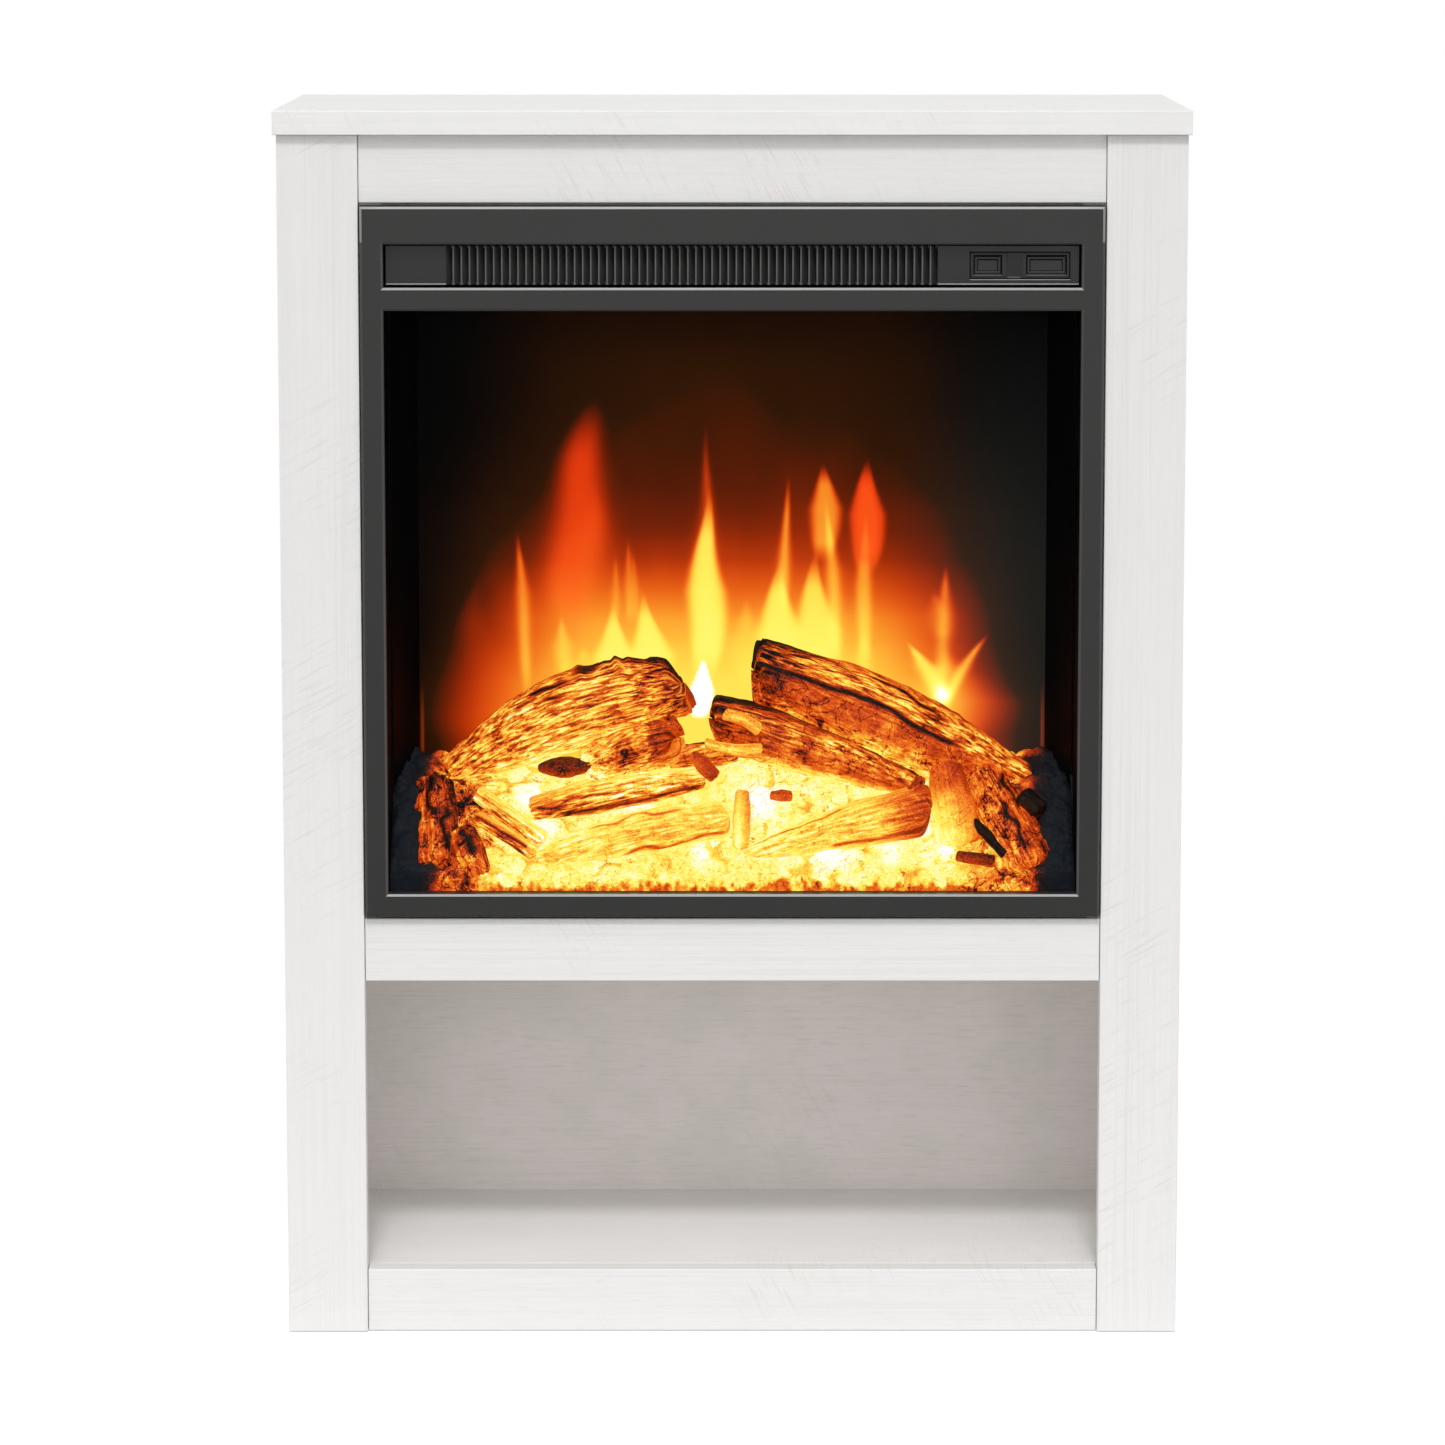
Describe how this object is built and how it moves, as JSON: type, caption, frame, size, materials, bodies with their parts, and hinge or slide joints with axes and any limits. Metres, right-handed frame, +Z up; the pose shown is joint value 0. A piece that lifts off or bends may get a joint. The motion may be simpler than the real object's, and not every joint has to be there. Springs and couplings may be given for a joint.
{
  "type": "electric fireplace",
  "caption": "Free-standing electric fireplace: whitewashed board surround with an open niche below a black firebox with a louvred fan heater, rotating flame effect and glowing log set.",
  "frame": {"origin": "on the floor, at the middle of the outline of the mantel top in plan", "axes": "+Z up, +X to the right of someone facing the fire, +Y from the front to the back, so the front faces -Y"},
  "size_m": [0.566, 0.24, 0.772],
  "materials": {
    "whitewashed_board": "matt whitewashed grain",
    "fascia_black": "satin black",
    "liner_black": "semi-gloss black",
    "clear_glass": "clear",
    "black_rubber": "matt",
    "black_plastic": "satin black",
    "smoked_lens": "smoked",
    "circuit_green": "solder mask",
    "galvanised_steel": "galvanised",
    "element_ceramic": "unglazed",
    "bright_steel": "bright",
    "frosted_screen": "frosted, lit from behind",
    "log_resin": "moulded bark, lit from inside",
    "ember_resin": "moulded embers, lit from inside"
  },
  "bodies": {
    "surround": {"mantel_top": "whitewashed_board", "left_side_panel": "whitewashed_board", "right_side_panel": "whitewashed_board", "left_stile": "whitewashed_board", "right_stile": "whitewashed_board", "top_rail": "whitewashed_board", "middle_rail": "whitewashed_board", "bottom_rail": "whitewashed_board", "insert_shelf": "whitewashed_board", "niche_floor": "whitewashed_board", "niche_back": "whitewashed_board", "back_stretcher": "whitewashed_board", "fascia": "fascia_black", "front_bulkhead": "liner_black", "left_firebox_wall": "liner_black", "right_firebox_wall": "liner_black", "glass_pane": "clear_glass", "glass_gasket": "black_rubber", "cord_bushing": "black_rubber", "foot_front_left": "black_rubber", "foot_front_right": "black_rubber", "foot_back_left": "black_rubber", "foot_back_right": "black_rubber", "vent_panel": "black_plastic", "receiver_lens": "smoked_lens", "control_board": "circuit_green", "power_board": "circuit_green", "flame_lamp_board": "circuit_green", "ember_lamp_board": "circuit_green", "casing_left": "galvanised_steel", "casing_right": "galvanised_steel", "casing_top": "galvanised_steel", "casing_bottom": "galvanised_steel", "casing_back": "galvanised_steel", "heat_shield": "galvanised_steel", "left_fixing_bracket": "galvanised_steel", "left_wood_screw": "galvanised_steel", "left_casing_screw": "galvanised_steel", "right_fixing_bracket": "galvanised_steel", "right_wood_screw": "galvanised_steel", "right_casing_screw": "galvanised_steel", "heater_frame": "galvanised_steel", "blower_housing": "galvanised_steel", "blower_motor": "galvanised_steel", "rotor_left_bracket": "galvanised_steel", "rotor_right_bracket": "galvanised_steel", "rotor_motor": "galvanised_steel", "heating_element": "element_ceramic", "flame_reflector": "bright_steel", "flame_screen": "frosted_screen", "left_log": "log_resin", "right_log": "log_resin", "centre_log": "log_resin", "ember_bed": "ember_resin"},
    "power_key": {"power_button": "black_plastic"},
    "heat_key": {"heat_button": "black_plastic"},
    "blower": {"blower_wheel": "black_plastic", "blower_shaft": "bright_steel"},
    "rotor": {"rotor_axle": "bright_steel", "rotor_fins": "bright_steel"}
  },
  "joints": [
    {"name": "power_press", "type": "slide", "parent": "surround", "child": "power_key", "axis": [0, 1, 0], "range_m": [0, 0.001], "stiffness_N_per_m": 400, "springref_m": -0.002},
    {"name": "heat_press", "type": "slide", "parent": "surround", "child": "heat_key", "axis": [0, 1, 0], "range_m": [0, 0.001], "stiffness_N_per_m": 400, "springref_m": -0.002},
    {"name": "blower_spin", "type": "hinge", "parent": "surround", "child": "blower", "pos_m": [-0.034, -0.0604, 0.6791], "axis": [1, 0, 0], "continuous": true},
    {"name": "rotor_spin", "type": "hinge", "parent": "surround", "child": "rotor", "pos_m": [0, 0.0142, 0.3186], "axis": [1, 0, 0], "continuous": true}
  ]
}
